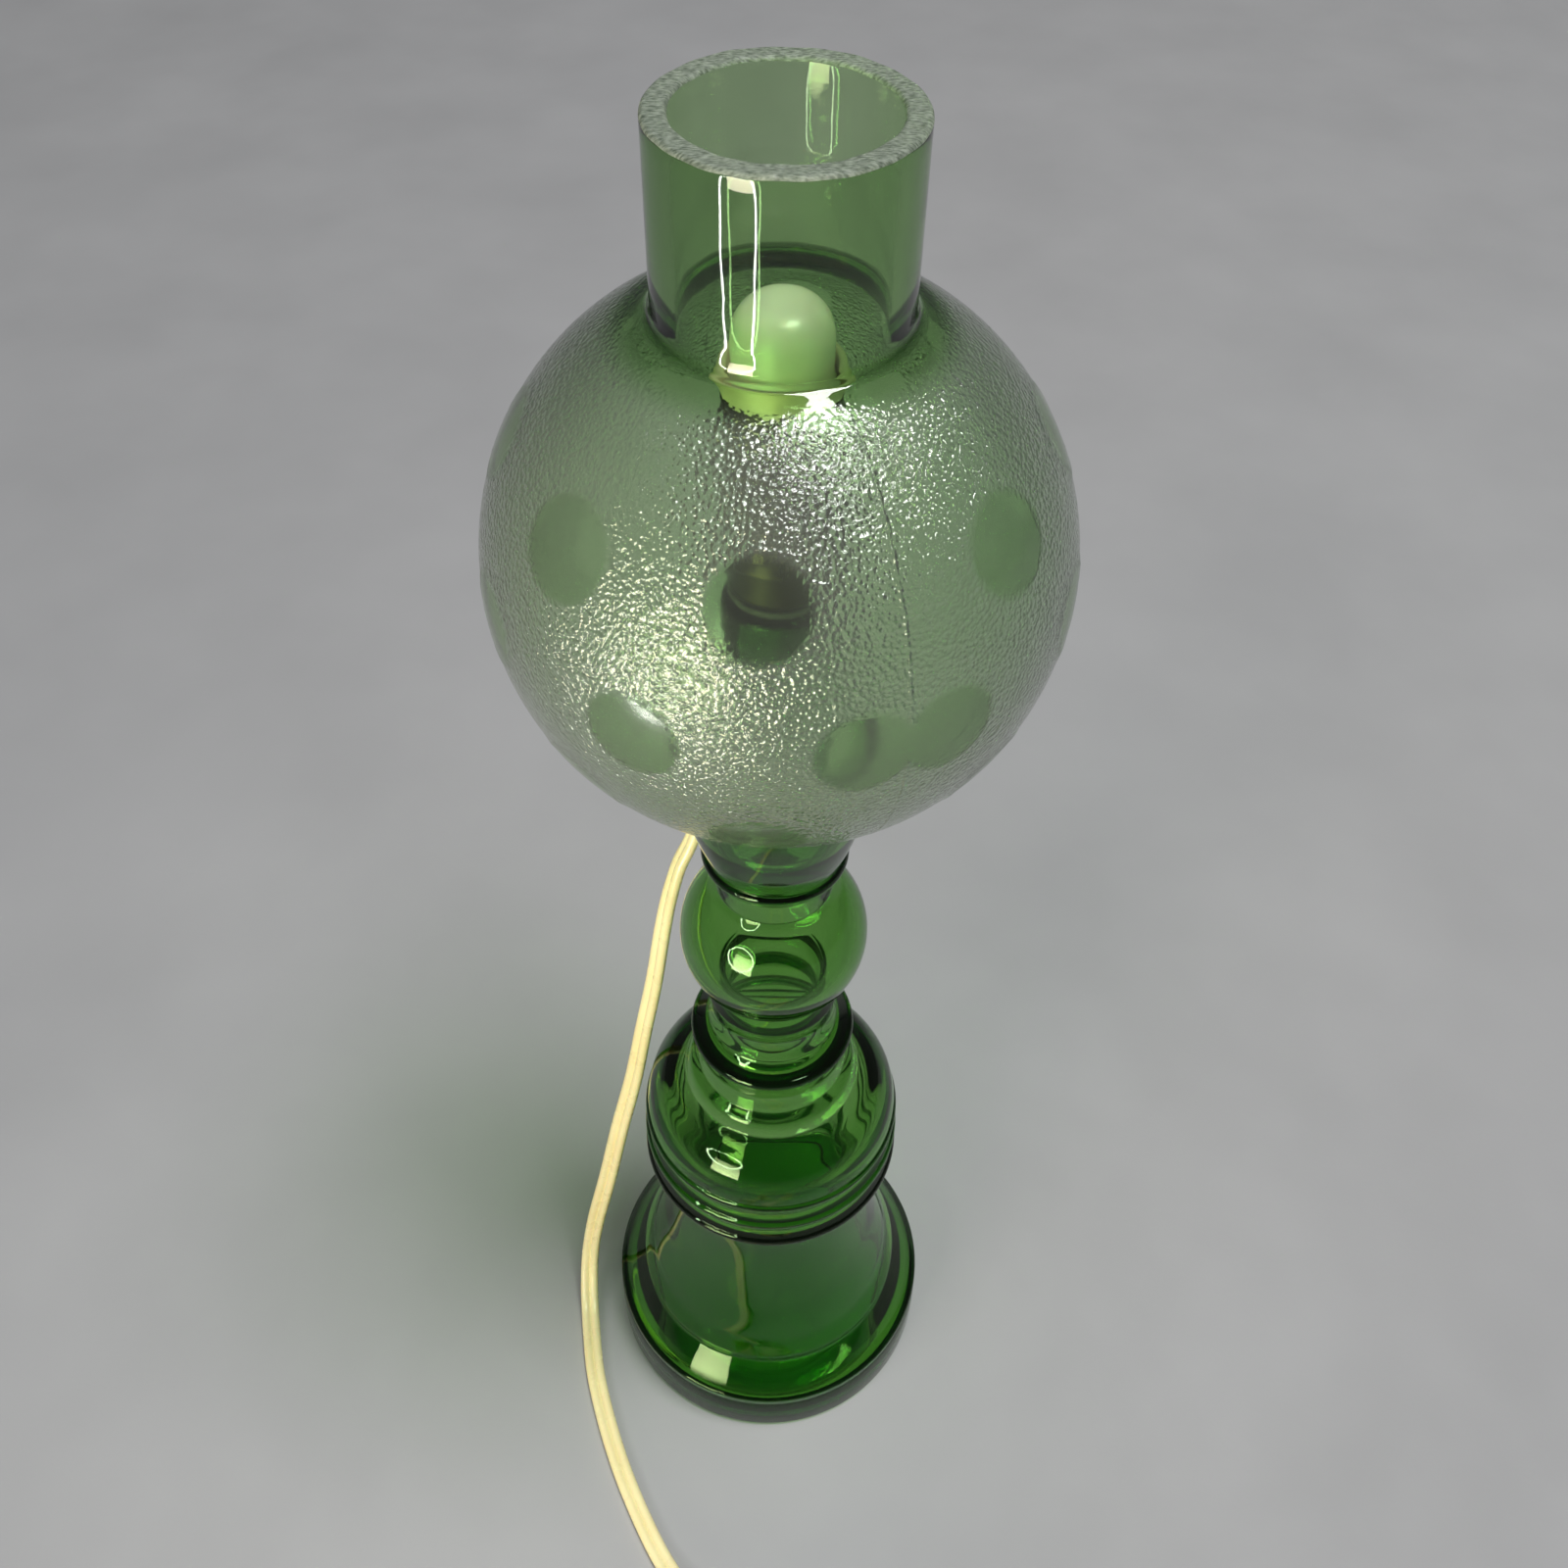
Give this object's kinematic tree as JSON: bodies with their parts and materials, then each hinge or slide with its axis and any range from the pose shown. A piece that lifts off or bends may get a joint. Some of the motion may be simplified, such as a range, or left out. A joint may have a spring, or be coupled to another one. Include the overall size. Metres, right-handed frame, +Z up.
{
  "type": "table lamp",
  "caption": "Green glass table lamp: hollow turned-shape bottle base, lift-off pebbled globe shade with straight chimney, small frosted bulb, flat cord with in-line switch and plug.",
  "frame": {"origin": "on the lamp's upright axis at the level of the foot's underside, which is the floor", "axes": "+Z up along the lamp's axis, -Y towards the viewer of the reference view, +X to that viewer's right; the cord leaves at the back, a little towards -X"},
  "size_m": [0.1274, 0.3157, 0.42],
  "materials": {
    "green_glass": "clear deep green, hollow, glossy",
    "textured_green_glass": "pebbled sage green with smooth coin spots, a clear chimney and a ground grey rim",
    "frosted_glass": "frosted white",
    "clear_glass": "clear",
    "antique_brass": "dark antique brass, satin",
    "polished_brass": "polished, slightly tarnished",
    "nickel_steel": "nickel plated",
    "tungsten_wire": "drawn wire",
    "black_rubber": "matte",
    "phenolic": "moulded dark brown",
    "fibre_board": "rolled brown insulating fibre",
    "cream_vinyl": "aged cream vinyl, semi-gloss",
    "cream_plastic": "moulded cream plastic, semi-gloss",
    "black_twist_tie": "plastic coated wire"
  },
  "bodies": {
    "lamp": {"glass_base": "green_glass", "bottle_adapter": "black_rubber", "threaded_nipple": "polished_brass", "lower_lock_nut": "polished_brass", "lock_washer": "nickel_steel", "upper_lock_nut": "polished_brass", "socket_cap": "antique_brass", "cord_outlet_bushing": "black_rubber", "socket_shell": "antique_brass", "socket_rim_collar": "polished_brass", "insulating_liner": "fibre_board", "socket_body": "phenolic", "screw_shell_contact": "polished_brass", "centre_contact": "polished_brass", "terminal_screw_live": "polished_brass", "terminal_screw_neutral": "nickel_steel", "cord_inside": "cream_vinyl", "cord_lead_live": "cream_vinyl", "cord_lead_neutral": "cream_vinyl", "cord_run": "cream_vinyl", "cord_coil": "cream_vinyl", "coil_tie": "black_twist_tie", "switch_lower_shell": "cream_plastic", "switch_upper_shell": "cream_plastic", "switch_axle": "nickel_steel", "switch_screw_1": "nickel_steel", "switch_screw_2": "nickel_steel", "cord_tail": "cream_vinyl", "plug_strain_relief": "cream_vinyl", "plug_body": "cream_vinyl", "plug_blade_live": "polished_brass", "plug_blade_neutral": "polished_brass"},
    "shade": {"glass_shade": "textured_green_glass"},
    "bulb": {"bulb_glass": "frosted_glass", "bulb_screw_base": "nickel_steel", "bulb_insulator": "phenolic", "bulb_contact": "nickel_steel", "bulb_stem": "clear_glass", "filament_support_left": "tungsten_wire", "filament_support_right": "tungsten_wire", "filament": "tungsten_wire"},
    "wheel": {"switch_wheel": "cream_plastic"}
  },
  "joints": [
    {"name": "shade_lift", "type": "slide", "parent": "lamp", "child": "shade", "axis": [0, 0, 1], "range_m": [0, 0.13]},
    {"name": "bulb_withdraw", "type": "slide", "parent": "lamp", "child": "bulb", "axis": [0, 0, 1], "range_m": [0, 0.028]},
    {"name": "switch_wheel_turn", "type": "hinge", "parent": "lamp", "child": "wheel", "pos_m": [0.01269, -0.13693, 0.0105], "axis": [0, 0, 1], "continuous": true}
  ]
}
